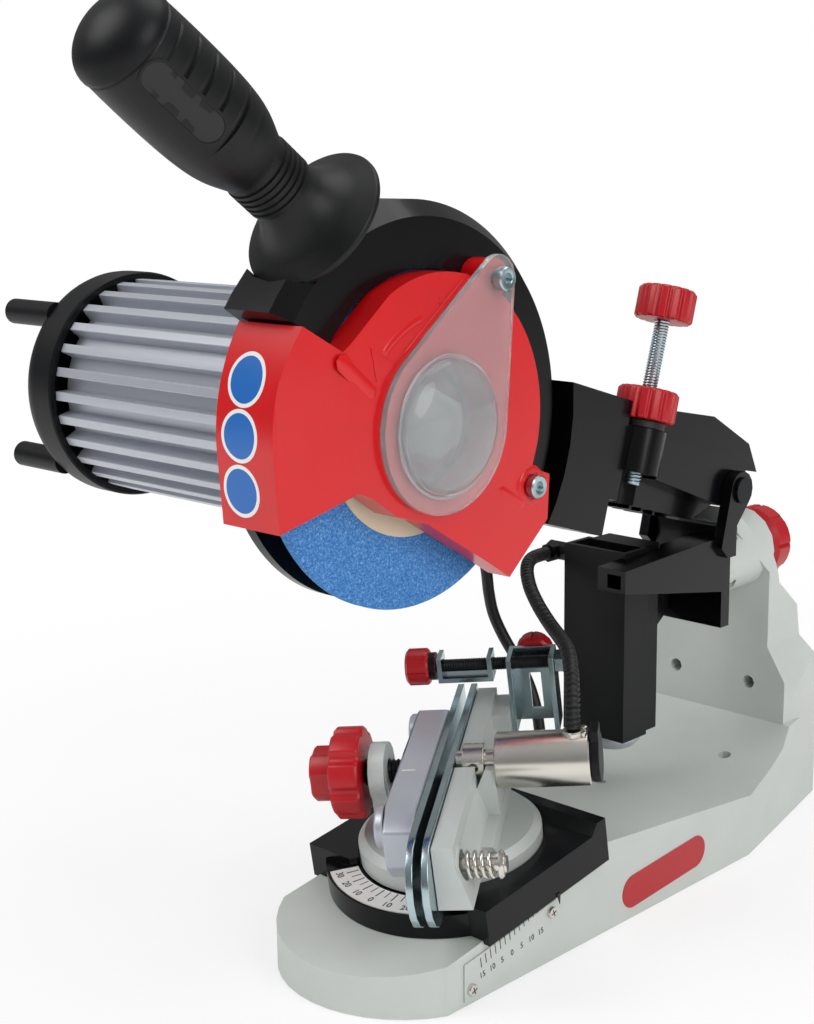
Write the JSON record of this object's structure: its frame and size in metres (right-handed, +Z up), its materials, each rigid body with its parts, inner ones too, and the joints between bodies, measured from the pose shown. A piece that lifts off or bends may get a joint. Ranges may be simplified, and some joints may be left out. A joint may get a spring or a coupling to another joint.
{
  "type": "chain_sharpener",
  "caption": "Tabletop electric chain sharpener with red guard cover, black arm, finned motor, swivelling hydraulic chain vise and grey cast stand.",
  "frame": {"origin": "On the flat underside of the stand, in the wheel's plane, midway between the vise's turning axis and the back edge.", "axes": "+X to the operator's right, +Y to the back wall, +Z up."},
  "size_m": [0.2724, 0.3985, 0.3693],
  "materials": {
    "grey_paint": "satin",
    "cast_grey": "satin",
    "black_paint": "glossy",
    "red_paint": "glossy",
    "red_plastic": "glossy",
    "black_plastic": "matte",
    "grip": "matte",
    "aluminium": "brushed",
    "zinc": "bright",
    "steel": "brushed",
    "dark_steel": "dark",
    "abrasive": "gritty",
    "paper": "matte",
    "label": "satin",
    "rubber": "matte",
    "copper": "dull",
    "clear": "clear"
  },
  "bodies": {
    "stand": {"base_casting": "grey_paint", "slide_scale": "label", "scale_screw_front": "steel", "scale_screw_rear": "steel", "tilt_stud": "dark_steel", "hydraulic_hose": "rubber", "motor_cable": "rubber"},
    "tilt_knob": {"tilt_lock_knob": "red_plastic"},
    "tilt": {"tilt_bracket": "black_paint", "column_housing": "black_plastic", "column_foot": "aluminium", "hinge_pin": "dark_steel"},
    "arm": {"arm_casting": "black_paint", "guard_casting": "black_paint", "side_cover": "red_paint", "mount_plate": "dark_steel", "motor_front_ring": "aluminium", "motor_barrel": "aluminium", "rear_cover": "black_plastic", "stator_core": "copper", "bearing_front": "steel", "bearing_rear": "steel", "guard_screw": "zinc", "cover_screw": "zinc", "handle_grip": "grip", "handle_cap": "black_plastic", "lock_washer": "rubber"},
    "spindle": {"motor_shaft": "steel", "rotor_core": "dark_steel", "cooling_fan": "black_plastic", "outer_flange": "steel", "grinding_wheel": "abrasive", "paper_disc": "paper", "arbor_nut": "steel"},
    "clear_shield": {"clear_guard": "clear"},
    "depth": {"depth_screw": "zinc", "depth_knob": "red_plastic"},
    "depth_lock": {"lock_knob": "red_plastic"},
    "carriage": {"carriage": "black_paint", "angle_scale": "label", "slide_bolt": "steel"},
    "slide_lock": {"slide_nut": "black_plastic"},
    "vise": {"vise_casting": "cast_grey", "cylinder_body": "steel", "cylinder_cap": "black_plastic", "stop_bracket": "zinc", "rear_stop_knob": "red_plastic"},
    "left_jaw": {"jaw_block": "aluminium", "rail_left": "zinc"},
    "clamp": {"clamp_knob": "red_plastic", "clamp_screw": "dark_steel"},
    "right_jaw": {"rail_right": "zinc", "piston_rod": "steel", "rod_collar": "steel", "guide_bolt": "steel", "guide_spring": "steel"},
    "chain_stop": {"stop_channel": "zinc"},
    "stop_adjuster": {"stop_screw": "dark_steel", "stop_knob": "red_plastic", "stop_nut": "zinc"}
  },
  "joints": [
    {"name": "head_tilt", "type": "hinge", "parent": "stand", "child": "tilt", "pos_m": [0, 0.05, 0.128], "axis": [0, 1, 0], "range_deg": [0, 30]},
    {"name": "tilt_knob_turn", "type": "hinge", "parent": "stand", "child": "tilt_knob", "pos_m": [0, 0.098, 0.128], "axis": [0, 1, 0], "range_deg": [-180, 180]},
    {"name": "arm_swing", "type": "hinge", "parent": "tilt", "child": "arm", "pos_m": [0, 0.05, 0.163], "axis": [1, 0, 0], "range_deg": [0, 17], "stiffness_Nm_per_rad": 14, "springref_deg": -74.48},
    {"name": "wheel_spin", "type": "hinge", "parent": "arm", "child": "spindle", "pos_m": [0, -0.1442, 0.21631], "axis": [1, 0, 0], "continuous": true},
    {"name": "clear_guard_swing", "type": "hinge", "parent": "arm", "child": "clear_shield", "pos_m": [0.02, -0.11581, 0.2686], "axis": [1, 0, 0], "range_deg": [-35, 20]},
    {"name": "depth_turn", "type": "hinge", "parent": "arm", "child": "depth", "pos_m": [0.0125, -0.01694, 0.18347], "axis": [0, 0.2924, 0.9563], "range_deg": [-180, 180]},
    {"name": "depth_lock_turn", "type": "hinge", "parent": "arm", "child": "depth_lock", "pos_m": [0.0125, -0.01694, 0.18347], "axis": [0, 0.2924, 0.9563], "range_deg": [-180, 180]},
    {"name": "carriage_slide", "type": "slide", "parent": "stand", "child": "carriage", "axis": [0, 0.9876, 0.157], "range_m": [-0.036, 0]},
    {"name": "slide_lock_turn", "type": "hinge", "parent": "carriage", "child": "slide_lock", "pos_m": [0, -0.12, 0.0382], "axis": [0, -0.157, 0.9876], "range_deg": [-180, 180]},
    {"name": "vise_swivel", "type": "hinge", "parent": "carriage", "child": "vise", "pos_m": [0, -0.12, 0.0382], "axis": [0, -0.157, 0.9876], "range_deg": [0, 80]},
    {"name": "jaw_slide", "type": "slide", "parent": "vise", "child": "left_jaw", "axis": [0.829, 0.5523, 0.0878], "range_m": [-0.0015, 0.0012]},
    {"name": "clamp_turn", "type": "hinge", "parent": "left_jaw", "child": "clamp", "pos_m": [-0.03316, -0.14758, 0.06926], "axis": [0.829, 0.5523, 0.0878], "range_deg": [-360, 288]},
    {"name": "ram_slide", "type": "slide", "parent": "vise", "child": "right_jaw", "axis": [-0.829, -0.5523, -0.0878], "range_m": [0, 0.0014], "stiffness_N_per_m": 3000},
    {"name": "chain_stop_flip", "type": "hinge", "parent": "vise", "child": "chain_stop", "pos_m": [-0.03024, -0.07706, 0.0992], "axis": [0.829, 0.5523, 0.0878], "range_deg": [0, 75]},
    {"name": "stop_adjust_turn", "type": "hinge", "parent": "vise", "child": "stop_adjuster", "pos_m": [-0.04764, -0.08866, 0.09735], "axis": [0.829, 0.5523, 0.0878], "range_deg": [-180, 180]}
  ],
  "couplings": [
    {"joint": "clamp_turn", "follows": "jaw_slide", "rad_per_m": 4188.8}
  ]
}
